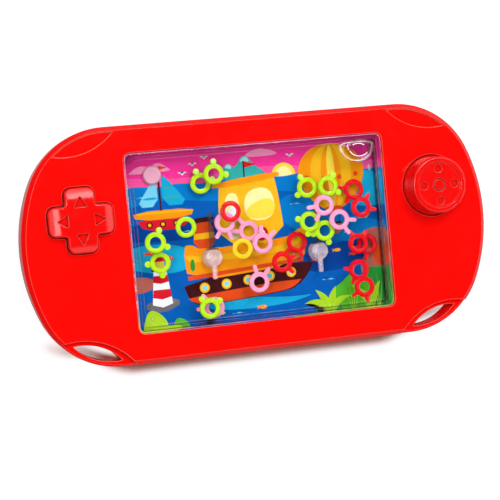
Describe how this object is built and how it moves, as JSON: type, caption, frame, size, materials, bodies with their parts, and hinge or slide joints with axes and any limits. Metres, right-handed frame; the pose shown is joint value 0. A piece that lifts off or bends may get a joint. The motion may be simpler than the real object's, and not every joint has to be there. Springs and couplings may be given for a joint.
{
  "type": "water ring toss game",
  "caption": "Pocket water game with a clear tank of loose rings and two upright pegs, a cross button and a tall round button that pump water jets, and finger slots in the lower corners.",
  "frame": {"origin": "middle of the flat back, which the game lies on", "axes": "+X along the case to the round button, +Y up the picture to the edge away from the finger slots, +Z out of the window"},
  "size_m": [0.176, 0.0864, 0.0304],
  "materials": {
    "shell_red": "smooth moulded, high gloss",
    "button_red": "smooth moulded, high gloss",
    "tank_clear": "clear moulded styrene, polished",
    "peg_clear": "clear moulded styrene, lightly frosted",
    "card_print": "printed plastic card, layered scene",
    "screw_steel": "zinc plated",
    "pump_white": "plain moulded",
    "bulb_rubber": "soft natural rubber",
    "hose_clear": "soft translucent tube",
    "plug_rubber": "soft white stopper",
    "ring_lime": "smooth, moulded",
    "ring_pink": "smooth, moulded",
    "ring_red": "smooth, moulded",
    "ring_yellow": "smooth, moulded"
  },
  "bodies": {
    "case": {"front_shell": "shell_red", "rear_shell": "shell_red", "case_screws": "screw_steel", "tank_front": "tank_clear", "tank_back": "tank_clear", "picture_card": "card_print", "peg_left": "peg_clear", "pump_cup_left": "pump_white", "pump_bulb_left": "bulb_rubber", "bulb_clamp_left": "pump_white", "feed_hose_left": "hose_clear", "jet_left": "pump_white", "peg_right": "peg_clear", "pump_cup_right": "pump_white", "pump_bulb_right": "bulb_rubber", "bulb_clamp_right": "pump_white", "feed_hose_right": "hose_clear", "jet_right": "pump_white"},
    "cross_button": {"cross_button": "button_red"},
    "round_button": {"round_button": "button_red"},
    "filler_plug": {"filler_plug": "plug_rubber"},
    "ring_green_1": {"ring_green_1": "ring_lime"},
    "ring_green_2": {"ring_green_2": "ring_lime"},
    "ring_green_3": {"ring_green_3": "ring_lime"},
    "ring_green_4": {"ring_green_4": "ring_lime"},
    "ring_green_5": {"ring_green_5": "ring_lime"},
    "ring_green_6": {"ring_green_6": "ring_lime"},
    "ring_green_7": {"ring_green_7": "ring_lime"},
    "ring_green_8": {"ring_green_8": "ring_lime"},
    "ring_green_9": {"ring_green_9": "ring_lime"},
    "ring_green_10": {"ring_green_10": "ring_lime"},
    "ring_pink_1": {"ring_pink_1": "ring_pink"},
    "ring_pink_2": {"ring_pink_2": "ring_pink"},
    "ring_pink_3": {"ring_pink_3": "ring_pink"},
    "ring_pink_4": {"ring_pink_4": "ring_pink"},
    "ring_pink_5": {"ring_pink_5": "ring_pink"},
    "ring_pink_6": {"ring_pink_6": "ring_pink"},
    "ring_pink_7": {"ring_pink_7": "ring_pink"},
    "ring_red_1": {"ring_red_1": "ring_red"},
    "ring_red_2": {"ring_red_2": "ring_red"},
    "ring_red_3": {"ring_red_3": "ring_red"},
    "ring_red_4": {"ring_red_4": "ring_red"},
    "ring_red_5": {"ring_red_5": "ring_red"},
    "ring_red_6": {"ring_red_6": "ring_red"},
    "ring_red_7": {"ring_red_7": "ring_red"},
    "ring_red_8": {"ring_red_8": "ring_red"},
    "ring_red_9": {"ring_red_9": "ring_red"},
    "ring_yellow_1": {"ring_yellow_1": "ring_yellow"}
  },
  "joints": [
    {"name": "button_cross_press", "type": "slide", "parent": "case", "child": "cross_button", "axis": [0, 0, 1], "range_m": [-0.003, 0], "stiffness_N_per_m": 400, "springref_m": 0.002, "deforming": ["pump_bulb_left"]},
    {"name": "button_round_press", "type": "slide", "parent": "case", "child": "round_button", "axis": [0, 0, 1], "range_m": [-0.003, 0], "stiffness_N_per_m": 400, "springref_m": 0.002, "deforming": ["pump_bulb_right"]},
    {"name": "filler_plug_pull", "type": "slide", "parent": "case", "child": "filler_plug", "axis": [0, 0, -1], "range_m": [0, 0.008]},
    {"name": "ring_green_1_drift", "type": "slide", "parent": "case", "child": "ring_green_1", "axis": [0, 1, 0], "range_m": [-0.007, 0.00525]},
    {"name": "ring_green_2_drift", "type": "slide", "parent": "case", "child": "ring_green_2", "axis": [0, 1, 0], "range_m": [-0.02075, 0.002]},
    {"name": "ring_green_3_drift", "type": "slide", "parent": "case", "child": "ring_green_3", "axis": [0, 1, 0], "range_m": [-0.03075, 0.02225]},
    {"name": "ring_green_4_drift", "type": "slide", "parent": "case", "child": "ring_green_4", "axis": [0, 1, 0], "range_m": [-0.02625, 0.02525]},
    {"name": "ring_green_5_drift", "type": "slide", "parent": "case", "child": "ring_green_5", "axis": [0, 1, 0], "range_m": [-0.01675, 0.0345]},
    {"name": "ring_green_6_drift", "type": "slide", "parent": "case", "child": "ring_green_6", "axis": [0, 1, 0], "range_m": [-0.00025, 0.04475]},
    {"name": "ring_green_7_drift", "type": "slide", "parent": "case", "child": "ring_green_7", "axis": [0, 1, 0], "range_m": [-0.00375, 0.01075]},
    {"name": "ring_green_8_drift", "type": "slide", "parent": "case", "child": "ring_green_8", "axis": [0, 1, 0], "range_m": [-0.00425, 0.011]},
    {"name": "ring_green_9_drift", "type": "slide", "parent": "case", "child": "ring_green_9", "axis": [0, 1, 0], "range_m": [-0.02675, 0.02475]},
    {"name": "ring_green_10_drift", "type": "slide", "parent": "case", "child": "ring_green_10", "axis": [0, 1, 0], "range_m": [-0.02275, 0.00425]},
    {"name": "ring_pink_1_drift", "type": "slide", "parent": "case", "child": "ring_pink_1", "axis": [0, 1, 0], "range_m": [-0.0005, 0.022]},
    {"name": "ring_pink_2_drift", "type": "slide", "parent": "case", "child": "ring_pink_2", "axis": [0, 1, 0], "range_m": [-0.027, 0.02425]},
    {"name": "ring_pink_3_drift", "type": "slide", "parent": "case", "child": "ring_pink_3", "axis": [0, 1, 0], "range_m": [-0.00225, 0.02825]},
    {"name": "ring_pink_4_drift", "type": "slide", "parent": "case", "child": "ring_pink_4", "axis": [0, 1, 0], "range_m": [-0.00775, 0.00225]},
    {"name": "ring_pink_5_drift", "type": "slide", "parent": "case", "child": "ring_pink_5", "axis": [0, 1, 0], "range_m": [-0.00025, 0.02075]},
    {"name": "ring_pink_6_drift", "type": "slide", "parent": "case", "child": "ring_pink_6", "axis": [0, 1, 0], "range_m": [-0.03225, 0.01925]},
    {"name": "ring_pink_7_drift", "type": "slide", "parent": "case", "child": "ring_pink_7", "axis": [0, 1, 0], "range_m": [-0.005, 0.025]},
    {"name": "ring_red_1_drift", "type": "slide", "parent": "case", "child": "ring_red_1", "axis": [0, 1, 0], "range_m": [-0.035, 0.01825]},
    {"name": "ring_red_2_drift", "type": "slide", "parent": "case", "child": "ring_red_2", "axis": [0, 1, 0], "range_m": [-0.003, 0.032]},
    {"name": "ring_red_3_drift", "type": "slide", "parent": "case", "child": "ring_red_3", "axis": [0, 1, 0], "range_m": [-0.01375, 0.03875]},
    {"name": "ring_red_4_drift", "type": "slide", "parent": "case", "child": "ring_red_4", "axis": [0, 1, 0], "range_m": [-0.00675, 0.01425]},
    {"name": "ring_red_5_drift", "type": "slide", "parent": "case", "child": "ring_red_5", "axis": [0, 1, 0], "range_m": [-0.01075, 0.02]},
    {"name": "ring_red_6_drift", "type": "slide", "parent": "case", "child": "ring_red_6", "axis": [0, 1, 0], "range_m": [-0.01825, 0.03325]},
    {"name": "ring_red_7_drift", "type": "slide", "parent": "case", "child": "ring_red_7", "axis": [0, 1, 0], "range_m": [-0.0155, 0.00675]},
    {"name": "ring_red_8_drift", "type": "slide", "parent": "case", "child": "ring_red_8", "axis": [0, 1, 0], "range_m": [-0.00725, 0.005]},
    {"name": "ring_red_9_drift", "type": "slide", "parent": "case", "child": "ring_red_9", "axis": [0, 1, 0], "range_m": [0, 0.01075]},
    {"name": "ring_yellow_1_drift", "type": "slide", "parent": "case", "child": "ring_yellow_1", "axis": [0, 1, 0], "range_m": [-0.02075, 0.0005]}
  ]
}
